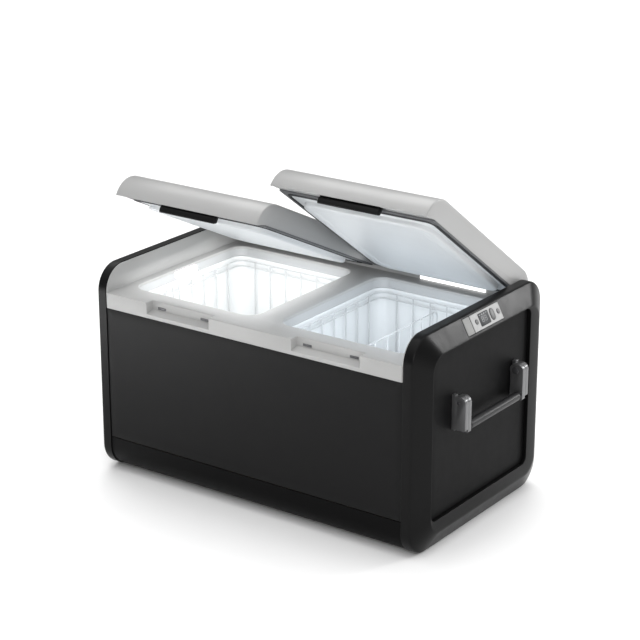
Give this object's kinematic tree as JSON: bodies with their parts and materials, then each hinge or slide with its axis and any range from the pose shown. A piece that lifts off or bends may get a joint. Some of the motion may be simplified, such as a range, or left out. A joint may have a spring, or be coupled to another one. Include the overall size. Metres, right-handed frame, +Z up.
{
  "type": "compressor cooler fridge",
  "caption": "Portable compressor cooler with a separately hinged lid over each compartment, swing handles, wire baskets and a control panel on one end.",
  "frame": {"origin": "on the floor under the middle of the case, halfway between front and rear", "axes": "+X along the long side towards the control panel, +Y towards the hinges at the rear, +Z up"},
  "size_m": [0.957, 0.53, 0.7673],
  "materials": {
    "case_plastic": "satin",
    "frame_plastic": "matte",
    "black_steel": "satin",
    "rim_plastic": "satin",
    "lid_plastic": "satin",
    "liner_plastic": "satin",
    "dark_trim": "matte",
    "gasket_rubber": "matte",
    "latch_plastic": "satin",
    "led_lens": "gloss",
    "foam": "matte",
    "sheet_aluminium": "satin",
    "machine_black": "satin",
    "copper_tube": "satin",
    "fin_metal": "satin",
    "bare_steel": "satin",
    "silver_plastic": "satin",
    "button_plastic": "satin",
    "display_glass": "gloss",
    "board": "satin",
    "cover_rubber": "matte",
    "handle_metal": "satin",
    "grip": "satin",
    "basket_wire": "satin",
    "foot_rubber": "matte"
  },
  "bodies": {
    "case": {"base_tray": "case_plastic", "front_panel": "black_steel", "rear_panel": "black_steel", "left_end_frame": "frame_plastic", "right_end_frame": "frame_plastic", "left_end_panel": "case_plastic", "right_end_panel": "case_plastic", "top_rim": "rim_plastic", "catch_plates": "bare_steel", "left_tub": "liner_plastic", "right_tub": "liner_plastic", "insulation": "foam", "feet": "foot_rubber", "left_led_lens": "led_lens", "right_led_lens": "led_lens", "evaporators": "sheet_aluminium", "compressor": "machine_black", "condenser": "fin_metal", "fan_shroud": "case_plastic", "power_module": "fin_metal", "refrigerant_tubes": "copper_tube", "dc_inlet": "case_plastic", "ac_inlet": "case_plastic", "vent_grille": "case_plastic", "rear_screws": "bare_steel", "control_bezel": "latch_plastic", "control_plate": "silver_plastic", "display_window": "display_glass", "control_board": "board", "usb_socket": "bare_steel", "handle_brackets": "handle_metal", "pivot_screws": "bare_steel", "hinge_brackets": "dark_trim", "hinge_pins": "bare_steel"},
    "left_lid": {"left_lid_shell": "lid_plastic", "left_lid_frame": "dark_trim", "left_lid_gasket": "gasket_rubber", "left_lid_liner": "liner_plastic", "left_lid_foam": "foam", "left_lid_hinge": "dark_trim"},
    "right_lid": {"right_lid_shell": "lid_plastic", "right_lid_frame": "dark_trim", "right_lid_gasket": "gasket_rubber", "right_lid_liner": "liner_plastic", "right_lid_foam": "foam", "right_lid_hinge": "dark_trim"},
    "left_latch": {"left_latch": "latch_plastic"},
    "right_latch": {"right_latch": "latch_plastic"},
    "left_handle": {"left_handle_arms": "handle_metal", "left_handle_bar": "grip"},
    "right_handle": {"right_handle_arms": "handle_metal", "right_handle_bar": "grip"},
    "fan": {"fan_rotor": "case_plastic"},
    "left_basket": {"left_basket": "basket_wire"},
    "right_basket": {"right_basket": "basket_wire"},
    "basket_divider": {"basket_divider": "basket_wire"},
    "power_button": {"power_button": "button_plastic"},
    "set_button": {"set_button": "button_plastic"},
    "rocker_button": {"rocker_button": "button_plastic"},
    "usb_cover": {"usb_cover": "cover_rubber"}
  },
  "joints": [
    {"name": "left_lid_hinge", "type": "hinge", "parent": "case", "child": "left_lid", "pos_m": [-0.2, 0.247, 0.464], "axis": [-1, 0, 0], "range_deg": [-25.5, 64.5]},
    {"name": "right_lid_hinge", "type": "hinge", "parent": "case", "child": "right_lid", "pos_m": [0.2, 0.247, 0.464], "axis": [-1, 0, 0], "range_deg": [-35.7, 54.3]},
    {"name": "left_latch_pull", "type": "hinge", "parent": "left_lid", "child": "left_latch", "pos_m": [-0.2, -0.20912, 0.66217], "axis": [-1, 0, 0], "range_deg": [0, 17], "stiffness_Nm_per_rad": 0.6, "springref_deg": -17.19},
    {"name": "right_latch_pull", "type": "hinge", "parent": "right_lid", "child": "right_latch", "pos_m": [0.2, -0.16682, 0.73981], "axis": [-1, 0, 0], "range_deg": [0, 17], "stiffness_Nm_per_rad": 0.6, "springref_deg": -17.19},
    {"name": "left_handle_swing", "type": "hinge", "parent": "case", "child": "left_handle", "pos_m": [-0.4595, 0, 0.328], "axis": [0, 1, 0], "range_deg": [0, 90]},
    {"name": "right_handle_swing", "type": "hinge", "parent": "case", "child": "right_handle", "pos_m": [0.4595, 0, 0.328], "axis": [0, -1, 0], "range_deg": [0, 90]},
    {"name": "fan_spin", "type": "hinge", "parent": "case", "child": "fan", "pos_m": [0.32, 0.208, 0.08], "axis": [0, 1, 0], "continuous": true},
    {"name": "left_basket_lift", "type": "slide", "parent": "case", "child": "left_basket", "axis": [0, 0, 1], "range_m": [0, 0.008]},
    {"name": "right_basket_lift", "type": "slide", "parent": "case", "child": "right_basket", "axis": [0, 0, 1], "range_m": [0, 0.008]},
    {"name": "divider_lift", "type": "slide", "parent": "right_basket", "child": "basket_divider", "axis": [0, 0, 1], "range_m": [0, 0.02]},
    {"name": "power_button_press", "type": "slide", "parent": "case", "child": "power_button", "axis": [-0.8806, 0, -0.4739], "range_m": [0, 0.0015], "stiffness_N_per_m": 400, "springref_m": -0.001},
    {"name": "set_button_press", "type": "slide", "parent": "case", "child": "set_button", "axis": [-0.8806, 0, -0.4739], "range_m": [0, 0.0015], "stiffness_N_per_m": 400, "springref_m": -0.001},
    {"name": "rocker_tilt", "type": "hinge", "parent": "case", "child": "rocker_button", "pos_m": [0.43703, 0.031, 0.47647], "axis": [0, 1, 0], "range_deg": [-3, 3], "stiffness_Nm_per_rad": 0.2},
    {"name": "usb_cover_flip", "type": "hinge", "parent": "case", "child": "usb_cover", "pos_m": [0.43932, -0.0771, 0.4777], "axis": [0.4739, 0, -0.8806], "range_deg": [0, 95]}
  ]
}
